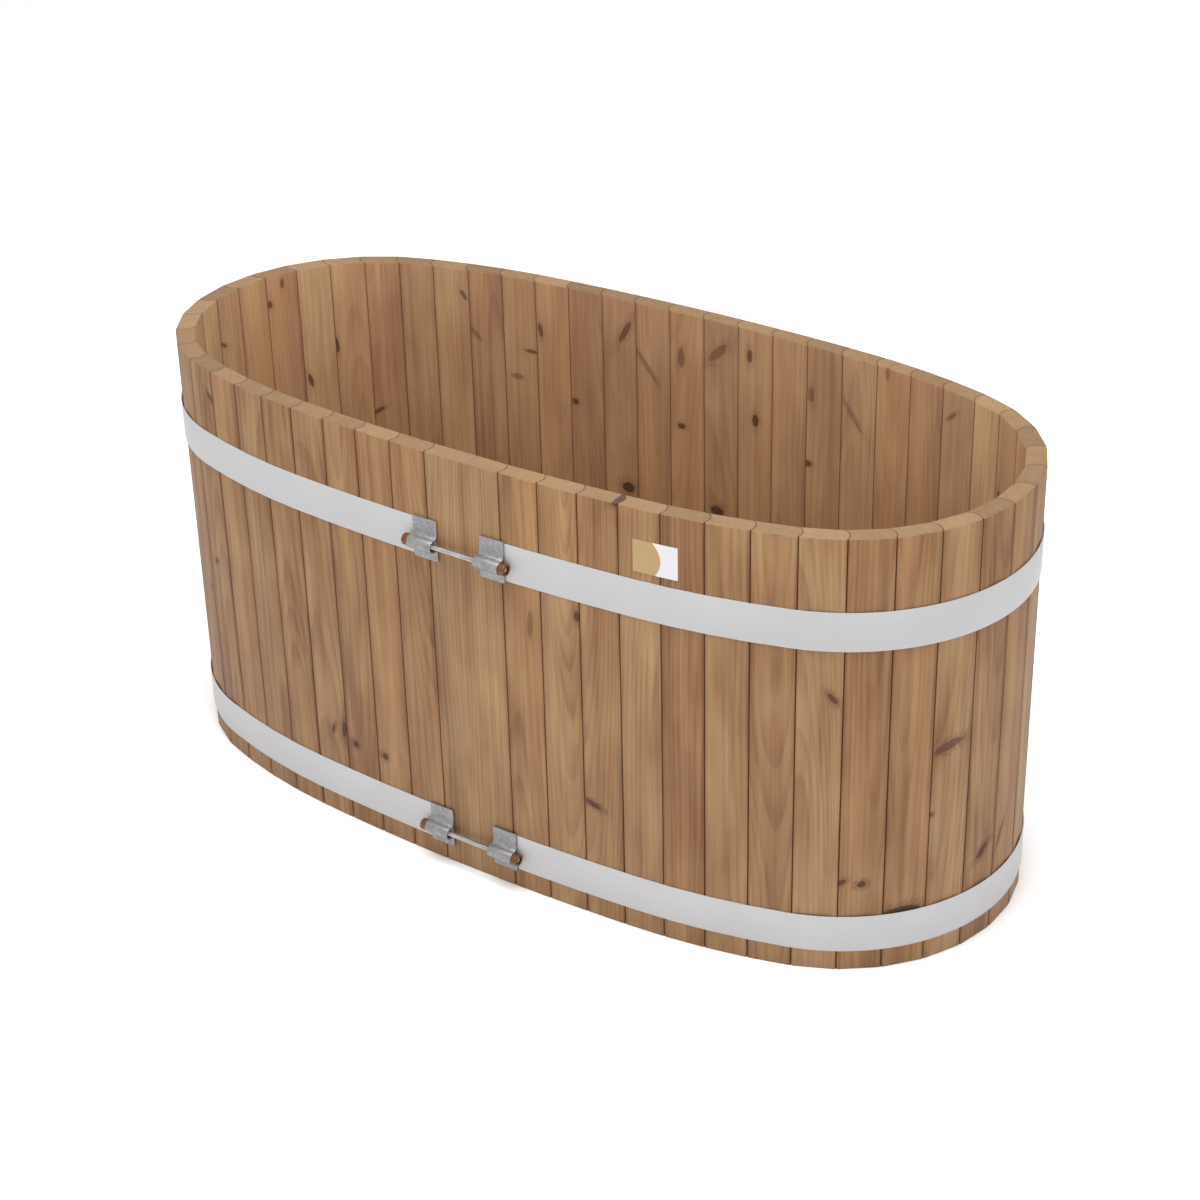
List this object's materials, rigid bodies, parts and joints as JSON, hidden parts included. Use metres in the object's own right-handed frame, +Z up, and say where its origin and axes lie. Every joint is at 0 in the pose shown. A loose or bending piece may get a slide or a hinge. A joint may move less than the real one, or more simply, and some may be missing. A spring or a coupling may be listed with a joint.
{
  "type": "wooden plunge tub",
  "caption": "Oval wooden plunge tub of bead-and-cove staves on a boarded floor, held by flat steel hoops with screw clamps, emptied through a plugged floor drain.",
  "frame": {"origin": "the floor under the middle of the oval, on the underside of the middle bearer", "axes": "+X along the tub, away from the drain, +Y away from the hoop clamps, +Z up"},
  "size_m": [1.4814, 0.6877, 0.7],
  "materials": {
    "stave_wood": "planed softwood with visible grain and knots, oiled",
    "floor_wood": "planed softwood boards, oiled",
    "bearer_wood": "sawn softwood",
    "hoop_steel": "flat steel strap, pale matt finish",
    "clip_steel": "pressed steel, galvanised and dull",
    "rod_steel": "zinc plated threaded rod",
    "nut_bronze": "dark bronze brown, satin",
    "screw_steel": "stainless steel",
    "drain_steel": "stainless steel, satin",
    "back_nut_plastic": "black moulded plastic",
    "plug_rubber": "matt black"
  },
  "bodies": {
    "tub": {"staves_01_03": "stave_wood", "staves_04_06": "stave_wood", "staves_07_09": "stave_wood", "staves_10_12": "stave_wood", "staves_13_15": "stave_wood", "staves_16_18": "stave_wood", "staves_19_21": "stave_wood", "staves_22_24": "stave_wood", "staves_25_27": "stave_wood", "staves_28_30": "stave_wood", "staves_31_33": "stave_wood", "staves_34_36": "stave_wood", "staves_37_39": "stave_wood", "staves_40_42": "stave_wood", "staves_43_45": "stave_wood", "staves_46_48": "stave_wood", "staves_49_51": "stave_wood", "staves_52_54": "stave_wood", "floor_board_1": "floor_wood", "floor_board_2": "floor_wood", "floor_board_3": "floor_wood", "floor_board_4": "floor_wood", "floor_board_5": "floor_wood", "floor_board_6": "floor_wood", "floor_board_7": "floor_wood", "bearer_drain_end": "bearer_wood", "bearer_middle": "bearer_wood", "bearer_head_end": "bearer_wood", "upper_hoop": "hoop_steel", "lower_hoop": "hoop_steel", "upper_left_clip": "clip_steel", "upper_right_clip": "clip_steel", "lower_left_clip": "clip_steel", "lower_right_clip": "clip_steel", "drain_fitting": "drain_steel", "drain_back_nut": "back_nut_plastic"},
    "upper_rod": {"upper_tension_rod": "rod_steel", "upper_left_nut": "nut_bronze"},
    "upper_right_nut": {"upper_right_nut": "nut_bronze"},
    "lower_rod": {"lower_tension_rod": "rod_steel", "lower_left_nut": "nut_bronze"},
    "lower_right_nut": {"lower_right_nut": "nut_bronze"},
    "plug": {"drain_plug": "plug_rubber"}
  },
  "joints": [
    {"name": "upper_rod_slide", "type": "slide", "parent": "tub", "child": "upper_rod", "axis": [-1, 0, 0], "range_m": [0, 0.00625]},
    {"name": "upper_right_nut_turn", "type": "hinge", "parent": "tub", "child": "upper_right_nut", "pos_m": [0.0945, -0.34373, 0.5555], "axis": [1, 0, 0], "range_deg": [0, 1802]},
    {"name": "lower_rod_slide", "type": "slide", "parent": "tub", "child": "lower_rod", "axis": [-1, 0, 0], "range_m": [0, 0.00625]},
    {"name": "lower_right_nut_turn", "type": "hinge", "parent": "tub", "child": "lower_right_nut", "pos_m": [0.0945, -0.34373, 0.0585], "axis": [1, 0, 0], "range_deg": [0, 1802]},
    {"name": "plug_lift", "type": "slide", "parent": "tub", "child": "plug", "axis": [0, 0, 1], "range_m": [0, 0.06]}
  ],
  "couplings": [
    {"joint": "upper_right_nut_turn", "follows": "upper_rod_slide", "rad_per_m": 5026.5},
    {"joint": "lower_right_nut_turn", "follows": "lower_rod_slide", "rad_per_m": 5026.5}
  ]
}
